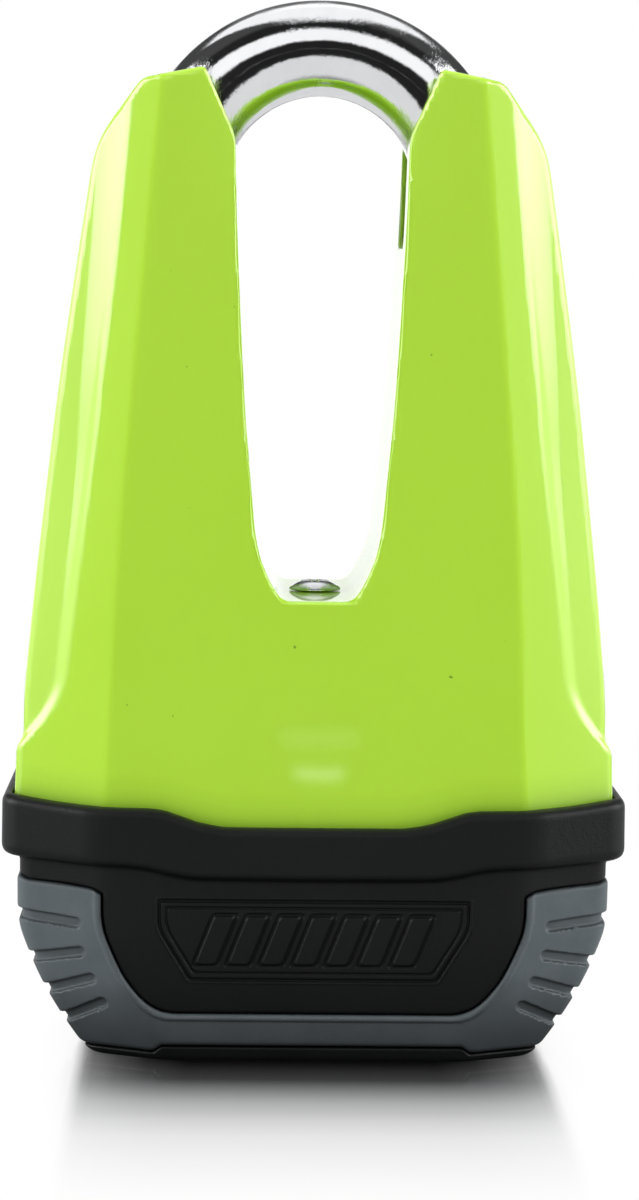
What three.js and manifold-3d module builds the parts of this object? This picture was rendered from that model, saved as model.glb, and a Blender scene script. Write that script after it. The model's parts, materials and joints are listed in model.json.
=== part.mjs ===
// Disc brake lock for a motorcycle: a U-shaped shackle in a two-armed armour shell, on a plastic base.
// Millimetres, +Z up. The origin is on the ground under the middle of the base.
// The front faces -Y, and left and right are -X and +X.
import * as THREE from "three";
import { mergeVertices } from "three/addons/utils/BufferGeometryUtils.js";
import { ConvexGeometry } from "three/addons/geometries/ConvexGeometry.js";
import Module from "manifold-3d";

// ---------- shared dimensions ----------
const FIT = 0.3; // gap between neighbouring solids
const LEG_X = 20.95; // half the distance between the leg centre lines
const LEG_END_Z = 31.5; // lowest point of the legs
const ARMOUR_Z0 = 31.5; // lower rim of the armour, inside the collar
const FLOOR_Z = 66.4; // floor of the disc slot
const CORE = { x: 30, y: 13, z0: 5.0, z1: 62.0 }; // x and y are half sizes
const CORE_GAP = 0.4; // around the core, in the armour and the base
const BUSH = { radius: 9.1, top: 66.7, pocketGap: 0.4 };
const SOCKET_R = 7.6; // leg hole in the core and the bushes
const BORE_R = 10.9; // cylinder bore in the core
const INSERT_R = 10.45; // cam disc and anti-drill plate, in that bore
const BOLT = { y: 3.8, z0: 44.0, z1: 50.0, x0: 1.0, x1: 13.4, chamfer: 0.8 }; // y is a half width
const ARMOUR_SCREW_HOLE = { radius: 2.75, bottom: 53.6 };
const PLATE_TOP = 2.4; // upper face of the base plate

// Limits that clear every part, for cutting bodies.
const BELOW = -5;
const ABOVE = 180;
const CLEAR_X = 60;
const CLEAR_Y = 30;

const SIDES = [["left", -1], ["right", 1]];

// ---------- materials ----------
const finish = (settings) => () => new THREE.MeshStandardMaterial(settings);
const paint = finish({ color: 0xa5d63a, roughness: 0.22, metalness: 0.0 });
const chrome = finish({ color: 0xe8e8ea, roughness: 0.06, metalness: 1.0 });
const steel = finish({ color: 0x9c9ea1, roughness: 0.4, metalness: 1.0 });
const zinc = finish({ color: 0xb9bcbf, roughness: 0.3, metalness: 1.0 });
const brass = finish({ color: 0xb9994f, roughness: 0.35, metalness: 1.0 });
const black = finish({ color: 0x1c1e1e, roughness: 0.55, metalness: 0.0 });
const grey = finish({ color: 0x585e61, roughness: 0.6, metalness: 0.0 });
const acetal = finish({ color: 0xd8d8d2, roughness: 0.5, metalness: 0.0 });

// ---------- solids ----------
const wasm = await Module();
wasm.setup();

function solid(geometry) {
  for (const key of Object.keys(geometry.attributes)) {
    if (key !== "position") geometry.deleteAttribute(key);
  }
  const merged = mergeVertices(geometry, 1e-4);
  return new wasm.Manifold(
    new wasm.Mesh({
      numProp: 3,
      vertProperties: new Float32Array(merged.attributes.position.array),
      triVerts: new Uint32Array(merged.index.array),
    }),
  );
}

function extrude(points, depth) {
  const shape = new THREE.Shape(points.map(([a, b]) => new THREE.Vector2(a, b)));
  return new THREE.ExtrudeGeometry(shape, { depth, bevelEnabled: false });
}

// A prism on an outline in X and Z, from y0 to y1.
function prismY(points, y0, y1) {
  const geometry = extrude(points, y1 - y0);
  geometry.rotateX(Math.PI / 2);
  geometry.translate(0, y1, 0);
  return solid(geometry);
}

// A prism on an outline in X and Y, from z0 to z1.
function prismZ(points, z0, z1) {
  const geometry = extrude(points, z1 - z0);
  geometry.translate(0, 0, z0);
  return solid(geometry);
}

const mirrorX = (points) => points.map(([x, z]) => [-x, z]);

// A prism on a front view outline, given by its points at x > 0. It runs right through in Y.
const frontPrism = (half, yBack = CLEAR_Y) =>
  prismY([...half, ...mirrorX(half).reverse()], -CLEAR_Y, yBack);

// x0 and x1 can come in either order.
function box(x0, x1, y0, y1, z0, z1) {
  const geometry = new THREE.BoxGeometry(Math.abs(x1 - x0), y1 - y0, z1 - z0);
  geometry.translate((x0 + x1) / 2, (y0 + y1) / 2, (z0 + z1) / 2);
  return solid(geometry);
}

// A box centred on the Z axis, from its half sizes.
const block = (halfX, halfY, z0, z1) => box(-halfX, halfX, -halfY, halfY, z0, z1);

const slab = (z0, z1) => block(CLEAR_X, CLEAR_Y, z0, z1);

function cylZ(radius, z0, z1, segments = 24, x = 0, y = 0, topRadius = radius) {
  const geometry = new THREE.CylinderGeometry(topRadius, radius, z1 - z0, segments, 1);
  geometry.rotateX(Math.PI / 2);
  geometry.translate(x, y, (z0 + z1) / 2);
  return solid(geometry);
}

function cylY(radius, y0, y1, z, segments) {
  const geometry = new THREE.CylinderGeometry(radius, radius, y1 - y0, segments, 1);
  geometry.translate(0, (y0 + y1) / 2, z);
  return solid(geometry);
}

// A body of revolution about Z from a profile of [radius, height], listed upwards from the axis.
function lathe(profile, segments) {
  const points = profile.map(([radius, height]) => new THREE.Vector2(radius, height));
  const geometry = new THREE.LatheGeometry(points, segments);
  geometry.rotateX(Math.PI / 2);
  return solid(geometry);
}

// Cuts a cross recess into a screw on the Z axis.
function cutCross(screw, halfLength, halfWidth, z0, z1) {
  return screw
    .subtract(block(halfLength, halfWidth, z0, z1))
    .subtract(block(halfWidth, halfLength, z0, z1));
}

// The outline of a plan section, from its points in the quarter x > 0, y < 0.
function ring(quarter) {
  const back = [...quarter].reverse();
  return [
    ...quarter,
    ...back.map(([x, y]) => [x, -y]),
    ...quarter.map(([x, y]) => [-x, -y]),
    ...back.map(([x, y]) => [-x, y]),
  ];
}

// The convex skin over plan sections, each given as [height, quarter].
function skin(sections) {
  const points = sections.flatMap(([z, quarter]) =>
    ring(quarter).map(([x, y]) => new THREE.Vector3(x, y, z)),
  );
  return solid(new ConvexGeometry(points));
}

// Sections from a table of levels, with the lowest one moved to bottomZ.
const sectionsOf = (levels, quarterOf, bottomZ = levels[0][0]) =>
  levels.map((level, i) => [i === 0 ? bottomZ : level[0], quarterOf(level)]);

// ---------- armour shell ----------
const TIP_Z = 143.4; // top of the arms
const TIP_HALF_DEPTH = 14.2;
const FRONT_SLOPE = 0.0533; // growth of the half depth towards the base
const FACET = Math.tan((25 * Math.PI) / 180); // the side facets turn back by 25 degrees
const CORNER = { x: 1.4, y: 2.2 }; // small bevel between a side facet and the side
const CHANNEL_R = 7.7; // leg channel in the arms
const WINDOW = { x: 8, z: 117.6 }; // inner edge and lower end of the open channel in the arms
const RECESS = 1.0; // depth of the recess along each side

// [height, front facet edge x, half width]
const ARMOUR_LEVELS = [
  [ARMOUR_Z0, 30.1, 43.5],
  [38, 29.9, 43.4],
  [50, 29.4, 43.3],
  [64.7, 28.9, 42.3],
  [79.7, 28.1, 40.85],
  [94.6, 27.0, 39.3],
  [109.6, 25.8, 37.4],
  [124.5, 24.6, 35.3],
  [133.0, 23.9, 33.8],
  [144.5, 22.9, 31.0],
];

// Front view of the arms, right half, [x, z] upwards.
const SHOULDERS = [
  [48, ARMOUR_Z0 - 1], [48, 110], [35.4, 125.5], [34.1, 130.4],
  [32.4, 133.2], [25.8, 141.4], [17.2, TIP_Z],
];

// Front view of the disc slot, right half, [x, z] upwards.
const SLOT = [
  [4.4, FLOOR_Z], [5.9, 67.9], [7.1, 70.2], [8.4, 73.4], [9.1, 76.6], [9.5, 81],
  [10.8, 95], [11.7, 110], [12.4, 124], [12.6, 133.3], [17.2, TIP_Z], [19.0, 147.5],
];

// Front view of the right side recess, [x, z]: its ridge runs down the facet and out to the edge.
const RIDGE = [
  [29.0, 150], [28.5, 139], [30.4, 118.5], [31.6, 106.6], [32.5, 97.5],
  [33.3, 88.6], [34.0, 79.7], [34.8, 71.6], [35.7, 62], [36.8, 53],
  [38.6, 49.8], [41.0, 47.9], [46.0, 46.2], [60.0, 46.2], [60.0, 150],
];

// grow enlarges the section all round, and inset draws its sides in.
function armourQuarter([z, facetX, halfWidth], grow = 0, inset = 0) {
  const depth = TIP_HALF_DEPTH + (TIP_Z - z) * FRONT_SLOPE + grow;
  const edgeX = halfWidth - CORNER.x;
  const edgeY = depth - (edgeX - facetX) * FACET;
  const back = inset * 0.95;
  return [
    [facetX + grow * 0.3 - back * 2.0, -depth],
    [edgeX + grow * 0.8 - inset, -(edgeY + grow * 0.3 - back)],
    [halfWidth + grow - inset, -(edgeY - CORNER.y - back * 0.6)],
  ];
}

const armourSkin = (inset) =>
  skin(sectionsOf(ARMOUR_LEVELS, (level) => armourQuarter(level, 0, inset)));

function armourShell() {
  const sideRegions = prismY(RIDGE, -CLEAR_Y, CLEAR_Y).add(
    prismY(mirrorX(RIDGE), -CLEAR_Y, CLEAR_Y),
  );
  let body = armourSkin(0)
    .intersect(frontPrism(SHOULDERS))
    .subtract(sideRegions.subtract(armourSkin(RECESS)))
    .subtract(frontPrism(SLOT));
  const pocketR = BUSH.radius + BUSH.pocketGap;
  for (const [, side] of SIDES) {
    const x = side * LEG_X;
    body = body
      .subtract(cylZ(CHANNEL_R, CORE.z1, ABOVE, 28, x))
      .subtract(cylZ(pocketR, CORE.z1 - 1, BUSH.top + BUSH.pocketGap, 24, x))
      .subtract(box(side * WINDOW.x, x, -CHANNEL_R, CHANNEL_R, WINDOW.z, ABOVE));
  }
  return body
    .subtract(block(CORE.x + CORE_GAP, CORE.y + CORE_GAP, ARMOUR_Z0 - 1, CORE.z1 + FIT))
    .subtract(cylZ(ARMOUR_SCREW_HOLE.radius, CORE.z1 - 2, ABOVE, 20));
}

// Button-head screw in the slot floor, with a cross recess.
function armourScrew() {
  // [radius, height above the seat]
  const profile = [
    [0, -12.2], [1.9, -12.2], [2.4, -11.6], [2.4, 0], [3.65, 0],
    [3.65, 1.1], [3.3, 1.8], [2.4, 2.3], [0, 2.5],
  ];
  const screw = cutCross(lathe(profile, 24), 1.9, 0.5, 1.0, 3);
  return screw.translate([0, 0, FLOOR_Z + FIT]);
}

// ---------- shackle ----------
const ROD_R = 7.2; // shackle bar radius
const ARCH_Z = 126.0; // centre of the shackle arch
const LEG_CHAMFER = 1.2;
const NOTCH = { x: 18.9, z0: 42.8, z1: 51.2 }; // locking notch in a leg; x is its floor

function shackle() {
  const torus = new THREE.TorusGeometry(LEG_X, ROD_R, 20, 48);
  torus.rotateX(Math.PI / 2);
  torus.translate(0, 0, ARCH_Z);
  let body = solid(torus).intersect(slab(ARCH_Z, ABOVE));
  const chamferTop = LEG_END_Z + LEG_CHAMFER;
  const notchStart = LEG_X - ROD_R - 1;
  const notchY = ROD_R + 1;
  for (const [, side] of SIDES) {
    const x = side * LEG_X;
    body = body
      .add(cylZ(ROD_R, chamferTop, ARCH_Z + 0.01, 20, x))
      .add(cylZ(ROD_R - LEG_CHAMFER, LEG_END_Z, chamferTop, 20, x, 0, ROD_R))
      .subtract(box(side * notchStart, side * NOTCH.x, -notchY, notchY, NOTCH.z0, NOTCH.z1));
  }
  return body;
}

// Guide bush for a leg, held between the core and the armour.
function legBush(side) {
  const x = side * LEG_X;
  return cylZ(BUSH.radius, CORE.z1 + FIT, BUSH.top, 24, x).subtract(
    cylZ(SOCKET_R, BELOW, ABOVE, 24, x),
  );
}

// ---------- lock core ----------
const BORE_TOP = 43.7;
const SOCKET_DEPTH_GAP = 0.6; // below the leg ends
const BOLT_GAP = 0.35;
const RETAINING_PIN = { radius: 1.15, y0: 8.95, y1: 12.7, z: 20, holeRadius: 1.5 };
const BASE_SCREW = { x: 25.0, y: 9.6, holeRadius: 1.75, holeTop: 14, sinkRadius: 3.4, sinkTop: 1.3 };
const BASE_SCREWS = [["front", -1], ["rear", 1]].flatMap(([end, sideY]) =>
  SIDES.map(([hand, sideX]) => ({
    name: `base_screw_${end}_${hand}`,
    x: sideX * BASE_SCREW.x,
    y: sideY * BASE_SCREW.y,
  })),
);

// Cuts a hole up from below at each base screw.
function drillBaseScrews(body, radius, top, segments) {
  return BASE_SCREWS.reduce(
    (drilled, { x, y }) => drilled.subtract(cylZ(radius, BELOW, top, segments, x, y)),
    body,
  );
}

const drillScrewShanks = (body) =>
  drillBaseScrews(body, BASE_SCREW.holeRadius, BASE_SCREW.holeTop, 14);

// Hole for the retaining pin, running to the rear from y0.
const pinHole = (y0) => cylY(RETAINING_PIN.holeRadius, y0, CLEAR_Y, RETAINING_PIN.z, 14);

function lockCore() {
  let core = block(CORE.x, CORE.y, CORE.z0, CORE.z1);
  for (const [, side] of SIDES) {
    core = core.subtract(cylZ(SOCKET_R, LEG_END_Z - SOCKET_DEPTH_GAP, ABOVE, 24, side * LEG_X));
  }
  core = core
    .subtract(cylZ(BORE_R, BELOW, BORE_TOP, 32))
    .subtract(block(LEG_X, BOLT.y + BOLT_GAP, BOLT.z0 - BOLT_GAP, BOLT.z1 + BOLT_GAP))
    .subtract(cylZ(ARMOUR_SCREW_HOLE.radius, ARMOUR_SCREW_HOLE.bottom, ABOVE, 20));
  return drillScrewShanks(core).subtract(pinHole(5));
}

// ---------- bolts and cam ----------
const FOLLOWER = { radius: 1.35, bottom: 40.6, axisX: 3.2 }; // axisX with the bolts drawn in
const SPIRAL = 2.86; // mm of radius for each radian of cam
const GROOVE_HALF = 1.7;
const CAM = { z0: 37.6, z1: 43.2, grooveFloor: 40.0, socketTop: 39.7 };
const DRIVE = { half: 2.5, top: 39.3 }; // square end of the tailpiece

// Locking bolt: slides outwards into the notch of its leg, driven by a pin in the cam.
function lockingBolt(side) {
  const outline = [
    [side * BOLT.x0, BOLT.z0],
    [side * BOLT.x1, BOLT.z0],
    [side * BOLT.x1, BOLT.z1 - BOLT.chamfer],
    [side * (BOLT.x1 - BOLT.chamfer), BOLT.z1],
    [side * BOLT.x0, BOLT.z1],
  ];
  return prismY(outline, -BOLT.y, BOLT.y).add(
    cylZ(FOLLOWER.radius, FOLLOWER.bottom, BOLT.z0 + 0.5, 16, side * FOLLOWER.axisX),
  );
}

// A spiral groove of a quarter turn with a constant rise, widened at both rest positions.
function cutGroove(cam, start) {
  const steps = 14;
  const lead = 0.1; // radians the groove runs on past each end
  const quarterTurn = Math.PI / 2;
  const at = (turn, offset) => {
    const radius = FOLLOWER.axisX + SPIRAL * turn + offset;
    return [radius * Math.cos(start - turn), radius * Math.sin(start - turn)];
  };
  const inner = [];
  const outer = [];
  for (let i = 0; i <= steps; i++) {
    const turn = -lead + ((quarterTurn + 2 * lead) * i) / steps;
    inner.push(at(turn, -GROOVE_HALF));
    outer.push(at(turn, GROOVE_HALF));
  }
  let body = cam.subtract(prismZ([...inner, ...outer.reverse()], CAM.grooveFloor, ABOVE));
  for (const turn of [0, quarterTurn]) {
    body = body.subtract(cylZ(GROOVE_HALF + 0.05, CAM.grooveFloor, ABOVE, 20, ...at(turn, 0)));
  }
  return body;
}

// Cam disc: two grooves, open at the top, and a square socket below.
function camDisc() {
  let cam = cylZ(INSERT_R, CAM.z0, CAM.z1, 32);
  for (const start of [0, Math.PI]) cam = cutGroove(cam, start);
  const socket = DRIVE.half + FIT;
  return cam.subtract(block(socket, socket, BELOW, CAM.socketTop));
}

// ---------- key cylinder ----------
const PLUG = { radius: 7.05, z0: 7.25, z1: 26.0, boreRadius: 5.95, boreFloor: 9.2 };
const SIDEBAR_SLOT = { z0: 10, z1: 24.6 };
const DISC = { radius: 5.6, thick: 1.8, turns: [0, 24, -18, 36, 12] }; // turns in degrees
const SPACER = { thick: 0.8, holeRadius: 3.9 };
const DISC_PITCH = DISC.thick + SPACER.thick + 2 * FIT;

const cylinderHousing = () =>
  cylZ(10.55, 7.0, 37.2, 32).subtract(cylZ(7.45, BELOW, ABOVE, 28)).subtract(pinHole(8.6));

function cylinderPlug() {
  const keyway = block(3.3, 1.6, BELOW, 10);
  return cylZ(PLUG.radius, PLUG.z0, PLUG.z1, 28)
    .subtract(cylZ(PLUG.boreRadius, PLUG.boreFloor, ABOVE))
    .subtract(keyway)
    .subtract(box(-1.1, 1.1, 4, 9, SIDEBAR_SLOT.z0, SIDEBAR_SLOT.z1));
}

const sidebar = () =>
  box(-0.8, 0.8, 6.1, 6.95, SIDEBAR_SLOT.z0 + FIT, SIDEBAR_SLOT.z1 - FIT);

// A disc with a turned key slot, and a gate that meets the sidebar at the rear.
function detainerDisc(z, turn) {
  return cylZ(DISC.radius, z, z + DISC.thick)
    .subtract(block(3.2, 1.5, z - 3, z + 3).rotate([0, 0, turn]))
    .subtract(box(-0.9, 0.9, 4.7, 7, z - 1, z + 3));
}

const discSpacer = (z) =>
  cylZ(DISC.radius, z, z + SPACER.thick).subtract(cylZ(SPACER.holeRadius, z - 1, z + 2, 16));

function addDiscStack() {
  DISC.turns.forEach((turn, i) => {
    const z = PLUG.boreFloor + FIT + i * DISC_PITCH;
    add(`detainer_disc_${i + 1}`, detainerDisc(z, turn), brass);
    if (i < DISC.turns.length - 1) {
      add(`disc_spacer_${i + 1}`, discSpacer(z + DISC.thick + FIT), zinc);
    }
  });
}

// Flange, stem and square drive, from below.
const cylinderTailpiece = () =>
  cylZ(PLUG.radius, 26.35, 28.4, 28)
    .add(cylZ(4.2, 28.0, 37.3, 20))
    .add(block(DRIVE.half, DRIVE.half, 37.0, DRIVE.top));

const antiDrillPlate = () => cylZ(INSERT_R, 5.15, 6.7, 28).subtract(cylZ(4.3, BELOW, ABOVE, 20));

const retainingPin = () =>
  cylY(RETAINING_PIN.radius, RETAINING_PIN.y0, RETAINING_PIN.y1, RETAINING_PIN.z, 14);

// ---------- base housing ----------
const BUMPER_THICK = 2.2;
const COLLAR_GAP = 0.35; // between the collar and the armour

// [height, front half depth, front edge x, shoulder x, side shoulder x, half width]
const BASE_LEVELS = [
  [2.4, 17.4, 22.2, 28.6, 32.2, 33.2],
  [9.5, 18.9, 26.2, 33.6, 37.3, 38.2],
  [19.4, 20.6, 28.8, 37.2, 41.4, 42.3],
  [28.6, 21.6, 29.4, 37.8, 41.7, 42.6],
];

// Plan of the collar in the quarter x > 0, y < 0.
const COLLAR_QUARTER = [[31.2, -22.7], [41.9, -17.85], [44.3, -15.1], [45.1, -12.2]];

// Front view of the collar, right half, [x, z] out along the bottom and back along the rim,
// which dips in the middle.
const COLLAR_FRONT = [
  [18.0, 27.1], [20.6, 27.6], [23.6, 28.3], [26.5, 28.65], [48, 29.2],
  [48, 38.3], [37.5, 37.4], [24.2, 37.0], [22.1, 36.8], [19.4, 36.0], [16.0, 34.95], [12.4, 34.4],
];

// Front view of the neck above the bumper, right half, [x, z].
const NECK = [[30.7, 24.6], [42, 26.9], [48, 27.3], [48, 29]];

// Front view of the plain panel in the middle of the front, right half, [x, z].
const PANEL = [[17.8, 11.4], [22.2, 19.4], [22.2, 24.4]];

// Front view of the bumper opening that shows the housing, right half, [x, z] downwards.
const OPENING = [
  [30.4, 32], [30.4, 21.9], [30.1, 19.6], [28.8, 16.1], [27.1, 12.6],
  [24.5, 9.1], [22.6, 7.9], [20.7, 7.35], [18.9, 7.15],
];

// The setbacks in y are for a half depth of 21 and scale with it.
function baseQuarter([, depth, frontX, shoulderX, sideX, halfWidth], grow = 0) {
  const scale = depth / 21;
  return [
    [frontX + grow * 0.4, -(depth + grow)],
    [shoulderX + grow * 0.8, -(depth - 3.0 * scale + grow * 0.7)],
    [sideX + grow, -(depth - 8.6 * scale)],
    [halfWidth + grow, -(depth - 14.5 * scale)],
  ];
}

const baseSections = (grow, bottomZ) =>
  sectionsOf(BASE_LEVELS, (level) => baseQuarter(level, grow), bottomZ);
const baseSkin = (grow, bottomZ) => skin(baseSections(grow, bottomZ));

// The opening grown sideways and down: by half on the upper points, and not at the top.
function openingPrism(grow) {
  const drop = (i) => (i === 0 ? 0 : i < 5 ? grow * 0.5 : grow);
  return frontPrism(OPENING.map(([x, z], i) => [x + grow, z - drop(i)]));
}

function collar() {
  // [height, inset]
  const levels = [[25.2, 1.0], [27.0, 0], [37.0, 0.1], [39.0, 0.5]];
  const insetQuarter = ([, inset]) => COLLAR_QUARTER.map(([x, y]) => [x - inset, y + inset]);
  return skin(sectionsOf(levels, insetQuarter)).intersect(frontPrism(COLLAR_FRONT));
}

// The room for the lower end of the armour.
const armourSeat = () =>
  skin(
    sectionsOf(
      ARMOUR_LEVELS.slice(0, 3),
      (level) => armourQuarter(level, COLLAR_GAP),
      ARMOUR_Z0 - FIT,
    ),
  );

function baseHousing() {
  const housing = baseSkin(-BUMPER_THICK - FIT)
    .add(baseSkin(-0.35).intersect(openingPrism(-FIT)))
    .add(baseSkin(-0.2).intersect(frontPrism(NECK)))
    .add(collar())
    .add(baseSkin(0.1).intersect(frontPrism(PANEL, 0)))
    .subtract(armourSeat())
    .subtract(block(CORE.x + CORE_GAP, CORE.y + CORE_GAP, CORE.z0 - FIT, ABOVE))
    .subtract(slab(BELOW, PLATE_TOP + FIT))
    .subtract(cylZ(7.5, BELOW, CORE.z0));
  return drillScrewShanks(housing);
}

// ---------- bumper ----------
const BUMPER_Z0 = 1.4;
const GROOVE = { length: 20, height: 1.5, depth: 0.9 };

// Front view of the bumper, right half, [x, z].
const BUMPER_FRONT = [
  [22.0, 2.4], [23.0, BUMPER_Z0], [48, BUMPER_Z0], [48, 27.2],
  [42, 26.6], [30.4, 24.3], [30.4, 40],
];

// Grip grooves: [height of the inner end, x of the inner end, rise outwards in degrees]
const GROOVES = [[20.2, 34.1, -8], [15.9, 33.5, 9], [12.0, 31.9, 17], [8.4, 30.1, 23]];

// A low band at the front and rear, and a tall pad with grip grooves on each side.
function bumper() {
  const lower = BASE_LEVELS[0].map((value) => value - 0.5);
  const outer = skin([[BUMPER_Z0, baseQuarter(lower)], ...baseSections(0)]);
  const inner = skin([
    [-2, baseQuarter(lower, -BUMPER_THICK)],
    ...baseSections(-BUMPER_THICK),
    [31, baseQuarter(BASE_LEVELS.at(-1), -BUMPER_THICK)],
  ]);
  let body = outer
    .subtract(inner)
    .intersect(frontPrism(BUMPER_FRONT))
    .subtract(openingPrism(0));
  const grooveFloor = baseSkin(-GROOVE.depth, -2);
  const halfHeight = GROOVE.height / 2;
  for (const [z, x, slope] of GROOVES) {
    const cut = box(0, GROOVE.length, -CLEAR_Y, CLEAR_Y, -halfHeight, halfHeight)
      .rotate([0, -slope, 0])
      .translate([x, 0, z]);
    for (const turn of [180, 0]) {
      body = body.subtract(cut.rotate([0, 0, turn]).subtract(grooveFloor));
    }
  }
  return body;
}

// ---------- base plate and cover ----------
const COVER_POCKET_Z = 1.0; // floor of the cover pocket in the base plate

function plateSection(z, halfWidth, depth, frontX) {
  const quarter = [
    [frontX, -depth],
    [frontX + 6.0, -(depth - 2.4)],
    [halfWidth - 1.0, -(depth - 7.0)],
    [halfWidth, -(depth - 11.5)],
  ];
  return [z, quarter];
}

// The face the lock stands on, with a window for the key and a pocket for the cover.
function basePlate() {
  const foot = skin([plateSection(0, 31.6, 16.0, 21.4), plateSection(1.1, 32.3, 16.7, 22.0)]);
  const upper = skin([
    plateSection(0.9, 29.8, 14.4, 20.2),
    plateSection(PLATE_TOP, 30.4, 14.9, 20.6),
  ]).intersect(slab(1.0, PLATE_TOP));
  // step under the middle of the bumper
  const step = skin([
    plateSection(0.6, 32.3, 16.7, 22),
    plateSection(2.1, 32.6, 17.0, 22),
  ]).intersect(block(21.6, CLEAR_Y, 0.6, 2.1));
  const plate = foot
    .add(upper)
    .add(step)
    .subtract(box(-5, 9, -4.6, 4.6, BELOW, ABOVE))
    .subtract(box(-6.6, 22.6, -6.4, 6.4, COVER_POCKET_Z, ABOVE));
  return drillBaseScrews(
    drillScrewShanks(plate), BASE_SCREW.sinkRadius, BASE_SCREW.sinkTop, 20,
  );
}

function baseScrew(x, y) {
  // [radius, height]
  const profile = [
    [0, 0.35], [2.7, 0.35], [3.0, 0.6], [3.0, 0.95],
    [1.4, 1.0], [1.4, 12.4], [0.9, 13.2], [0, 13.2],
  ];
  return cutCross(lathe(profile, 18), 1.6, 0.35, 0, 0.75).translate([x, y, 0]);
}

// Sliding cover, held in the pocket of the base plate, with a thumb ridge in the window.
const keyholeCover = () =>
  box(-6.2, 10.2, -6.0, 6.0, COVER_POCKET_Z + FIT, 2.3).add(
    box(-4.6, -3.0, -4.0, 4.0, 0.35, 1.5),
  );

// ---------- assembly ----------
const root = new THREE.Group();
root.name = "disc_brake_lock";

function add(name, body, material) {
  const { vertProperties, triVerts } = body.getMesh();
  const geometry = new THREE.BufferGeometry();
  const positions = new Float32Array(vertProperties);
  geometry.setAttribute("position", new THREE.BufferAttribute(positions, 3));
  geometry.setIndex(new THREE.BufferAttribute(new Uint32Array(triVerts), 1));
  geometry.computeVertexNormals();
  const mesh = new THREE.Mesh(geometry, material());
  mesh.name = name;
  root.add(mesh);
}

add("armour_shell", armourShell(), paint);
add("armour_screw", armourScrew(), zinc);
add("shackle", shackle(), chrome);
for (const [hand, side] of SIDES) add(`leg_bush_${hand}`, legBush(side), acetal);
add("lock_core", lockCore(), steel);
for (const [hand, side] of SIDES) add(`locking_bolt_${hand}`, lockingBolt(side), steel);
add("cam_disc", camDisc(), steel);
add("cylinder_housing", cylinderHousing(), brass);
add("cylinder_plug", cylinderPlug(), brass);
add("sidebar", sidebar(), zinc);
addDiscStack();
add("cylinder_tailpiece", cylinderTailpiece(), steel);
add("anti_drill_plate", antiDrillPlate(), steel);
add("cylinder_retaining_pin", retainingPin(), steel);
add("base_housing", baseHousing(), black);
add("bumper", bumper(), grey);
add("base_plate", basePlate(), black);
for (const { name, x, y } of BASE_SCREWS) add(name, baseScrew(x, y), zinc);
add("keyhole_cover", keyholeCover(), black);

export default root;
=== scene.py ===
import json
import math
from functools import reduce

import bpy
import numpy as np
from mathutils import Matrix, Vector


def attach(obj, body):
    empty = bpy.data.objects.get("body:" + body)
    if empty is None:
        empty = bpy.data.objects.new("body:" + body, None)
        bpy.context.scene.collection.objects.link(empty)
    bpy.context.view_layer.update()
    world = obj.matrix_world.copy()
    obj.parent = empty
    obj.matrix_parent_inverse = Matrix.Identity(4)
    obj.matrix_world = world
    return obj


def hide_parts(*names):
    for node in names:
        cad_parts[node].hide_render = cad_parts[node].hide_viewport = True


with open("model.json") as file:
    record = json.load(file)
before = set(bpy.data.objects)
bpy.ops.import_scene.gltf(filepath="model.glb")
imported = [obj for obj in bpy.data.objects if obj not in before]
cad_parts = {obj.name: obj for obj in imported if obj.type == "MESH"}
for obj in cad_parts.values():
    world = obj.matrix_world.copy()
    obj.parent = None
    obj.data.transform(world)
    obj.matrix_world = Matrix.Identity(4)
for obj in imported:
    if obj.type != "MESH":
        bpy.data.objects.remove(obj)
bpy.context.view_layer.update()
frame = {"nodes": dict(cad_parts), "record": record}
MM = 0.001


# ------------------------------------------------------------------ combining shapes
# A shape is a function of x, y, z that is negative inside. The last argument of meet, join and cut
# is the width of the rounded blend. In all shapes wide = |x| and deep = |y|.
def meet(first, second, blend):
    near = np.maximum(blend - np.abs(first - second), 0.0) / blend
    return np.maximum(first, second) + near * near * blend * 0.25


def join(first, second, blend):
    return -meet(-first, -second, blend)


def cut(body, tool, blend):
    return meet(body, -tool, blend)


def overlap(*shapes):
    """Intersection with sharp edges."""
    return reduce(np.maximum, shapes)


def union(*shapes):
    """Union with sharp edges."""
    return reduce(np.minimum, shapes)


def distance(across, along):
    return np.sqrt(across**2 + along**2)


def plane(across, along, point, normal):
    return (across - point[0]) * normal[0] + (along - point[1]) * normal[1]


def block(x, y, z, half, corner, edge):
    """Box with its upright corners and its top and bottom edges rounded."""
    outline = meet(np.abs(x) - half[0], np.abs(y) - half[1], corner)
    return meet(outline, np.abs(z) - half[2], edge)


def cross(x, y, reach, half_width, blend):
    wide, deep = np.abs(x), np.abs(y)
    return union(
        meet(wide - reach, deep - half_width, blend),
        meet(deep - reach, wide - half_width, blend),
    )


def smoothstep(start, end, at):
    part = np.clip((at - start) / (end - start), 0.0, 1.0)
    return part * part * (3.0 - 2.0 * part)


CURVE_STEP, CURVE_MARGIN = 0.02, 20


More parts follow.
